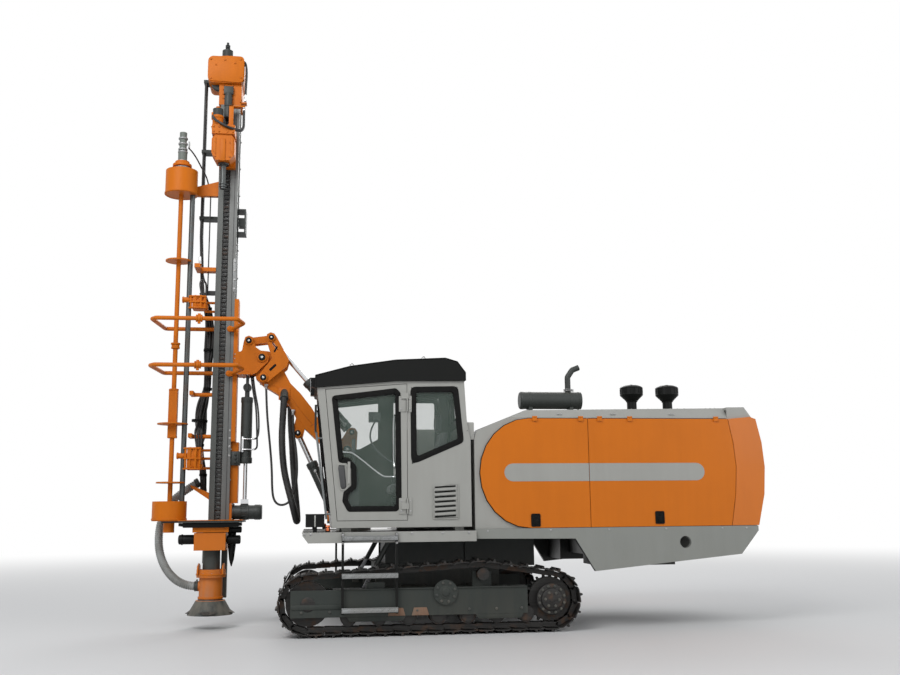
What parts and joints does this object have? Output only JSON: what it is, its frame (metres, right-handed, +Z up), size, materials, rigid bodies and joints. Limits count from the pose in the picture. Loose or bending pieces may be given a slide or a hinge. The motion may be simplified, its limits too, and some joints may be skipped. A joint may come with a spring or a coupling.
{
  "type": "crawler drilling rig",
  "caption": "Tracked surface drilling rig with a boom-mounted mast, rotary head on a chain feed, rod carousel, dust hood, side cab and rear engine hood with hinged doors.",
  "frame": {"origin": "centre of the bounding box's footprint, on the ground under the track lugs", "axes": "+X to the rear of the machine, +Y to its right side, +Z up; the mast stands at -X"},
  "size_m": [6.4006, 2.54, 6.665],
  "materials": {
    "orange_paint": "semi-gloss",
    "light_grey_paint": "semi-gloss",
    "grey_paint": "semi-gloss",
    "black_paint": "satin",
    "dark_metal": "matt",
    "track_steel": "matt",
    "mast_metal": "satin",
    "cylinder_rod": "polished",
    "hose_rubber": "matt",
    "dust_hose": "matt",
    "window_glass": "clear",
    "seat_fabric": "woven",
    "cab_plastic": "matt"
  },
  "bodies": {
    "base": {"track_left": "track_steel", "track_right": "track_steel", "track_frames": "black_paint", "track_wheels": "track_steel", "undercarriage": "black_paint", "tie_down_lugs": "black_paint", "oscillation_cylinders": "dark_metal", "deck": "grey_paint", "rear_frame": "grey_paint", "ladders": "black_paint", "hood_shell": "light_grey_paint", "rear_cover": "orange_paint", "rear_grille": "black_paint", "engine_block": "dark_metal", "muffler": "dark_metal", "pre_cleaners": "black_paint", "cab_shell": "light_grey_paint", "cab_glass": "window_glass", "cab_roof": "black_paint", "cab_lifting_eyes": "dark_metal", "operator_seat": "seat_fabric", "cab_console": "cab_plastic", "cab_mirror": "grey_paint", "work_lamps": "dark_metal", "equipment_boxes": "light_grey_paint"},
    "hood_door_front_left": {"hood_door_front_left": "orange_paint"},
    "hood_door_rear_left": {"hood_door_rear_left": "orange_paint"},
    "hood_door_front_right": {"hood_door_front_right": "orange_paint"},
    "hood_door_rear_right": {"hood_door_rear_right": "orange_paint"},
    "cab_door": {"cab_door": "light_grey_paint", "cab_door_glass": "window_glass"},
    "swing": {"swing_bracket": "orange_paint"},
    "boom": {"boom": "orange_paint"},
    "lift_barrel": {"lift_barrel": "dark_metal"},
    "lift_rod": {"lift_rod": "cylinder_rod"},
    "tilt_barrel": {"tilt_barrel": "dark_metal"},
    "tilt_rod": {"tilt_rod": "cylinder_rod"},
    "tilt_lever": {"tilt_lever": "orange_paint"},
    "tilt_link": {"tilt_link": "orange_paint"},
    "holder": {"feed_holder": "orange_paint", "slide_barrel": "dark_metal"},
    "mast": {"slide_rod": "cylinder_rod", "mast_beam": "mast_metal", "feed_chain": "track_steel", "mast_head": "orange_paint", "mast_fittings": "orange_paint", "mast_foot": "orange_paint", "dust_hood": "dark_metal", "feed_motor": "dark_metal", "guard_hoops": "orange_paint", "rod_grippers": "orange_paint", "carousel_frame": "dark_metal", "mast_hoses": "hose_rubber", "suction_hose": "dust_hose"},
    "carousel": {"carousel_rotor": "orange_paint", "stored_drill_rod": "dark_metal"},
    "rotary_head": {"rotary_head": "dark_metal"},
    "spindle": {"drill_spindle": "cylinder_rod"}
  },
  "joints": [
    {"name": "boom_swing", "type": "hinge", "parent": "base", "child": "swing", "pos_m": [-1.01, 0.2, 1.046], "axis": [0, 0, 1], "range_deg": [-30, 10]},
    {"name": "boom_lift", "type": "hinge", "parent": "swing", "child": "boom", "pos_m": [-1.09, 0.2, 1.86], "axis": [0, 1, 0], "range_deg": [-4, 25]},
    {"name": "lift_barrel_pivot", "type": "hinge", "parent": "swing", "child": "lift_barrel", "pos_m": [-1.21, 0.2, 1.15], "axis": [0, 1, 0], "range_deg": [-1.75, 10.5]},
    {"name": "lift_rod_slide", "type": "slide", "parent": "lift_barrel", "child": "lift_rod", "axis": [-0.4266, 0, 0.9045], "range_m": [-0.026, 0.1605]},
    {"name": "mast_tilt", "type": "hinge", "parent": "boom", "child": "holder", "pos_m": [-2.042, 0.2, 2.887], "axis": [0, -1, 0], "range_deg": [-90, 10]},
    {"name": "tilt_lever_pivot", "type": "hinge", "parent": "boom", "child": "tilt_lever", "pos_m": [-2.021, 0.2, 2.655], "axis": [0, -1, 0], "range_deg": [-46, 5.2]},
    {"name": "tilt_link_pivot", "type": "hinge", "parent": "tilt_lever", "child": "tilt_link", "pos_m": [-1.941, 0.2, 3.106], "axis": [0, -1, 0], "range_deg": [-0.4, 2.9]},
    {"name": "tilt_barrel_pivot", "type": "hinge", "parent": "boom", "child": "tilt_barrel", "pos_m": [-1.04, 0.2, 2.056], "axis": [0, -1, 0], "range_deg": [-6.5, 0.8]},
    {"name": "tilt_rod_slide", "type": "slide", "parent": "tilt_barrel", "child": "tilt_rod", "axis": [-0.6512, 0, 0.7589], "range_m": [-0.332, 0.038]},
    {"name": "mast_slide", "type": "slide", "parent": "holder", "child": "mast", "axis": [0, 0, 1], "range_m": [-0.11, 0.38]},
    {"name": "head_slide", "type": "slide", "parent": "mast", "child": "rotary_head", "axis": [0, 0, -1], "range_m": [0, 3.4]},
    {"name": "spindle_spin", "type": "hinge", "parent": "rotary_head", "child": "spindle", "pos_m": [-2.513, -0.05, 4.9], "axis": [0, 0, 1], "continuous": true},
    {"name": "carousel_turn", "type": "hinge", "parent": "mast", "child": "carousel", "pos_m": [-2.965, -0.05, 3], "axis": [0, 0, 1], "continuous": true},
    {"name": "cab_door_hinge", "type": "hinge", "parent": "base", "child": "cab_door", "pos_m": [-0.533, -1.166, 1.5], "axis": [0, 0, 1], "range_deg": [0, 100]},
    {"name": "hood_door_front_left_hinge", "type": "hinge", "parent": "base", "child": "hood_door_front_left", "pos_m": [1, -1.158, 2.112], "axis": [-1, 0, 0], "range_deg": [0, 80]},
    {"name": "hood_door_rear_left_hinge", "type": "hinge", "parent": "base", "child": "hood_door_rear_left", "pos_m": [2, -1.158, 2.112], "axis": [-1, 0, 0], "range_deg": [0, 80]},
    {"name": "hood_door_front_right_hinge", "type": "hinge", "parent": "base", "child": "hood_door_front_right", "pos_m": [1, 1.158, 2.112], "axis": [1, 0, 0], "range_deg": [0, 80]},
    {"name": "hood_door_rear_right_hinge", "type": "hinge", "parent": "base", "child": "hood_door_rear_right", "pos_m": [2, 1.158, 2.112], "axis": [1, 0, 0], "range_deg": [0, 80]}
  ],
  "couplings": [
    {"joint": "lift_barrel_pivot", "follows": "boom_lift", "ratio": 0.416},
    {"joint": "lift_rod_slide", "follows": "boom_lift", "m_per_rad": 0.366},
    {"joint": "tilt_lever_pivot", "follows": "mast_tilt", "ratio": 0.50972},
    {"joint": "tilt_link_pivot", "follows": "mast_tilt", "ratio": -0.031018},
    {"joint": "tilt_barrel_pivot", "follows": "mast_tilt", "ratio": 0.071438},
    {"joint": "tilt_rod_slide", "follows": "mast_tilt", "m_per_rad": 0.21057}
  ]
}
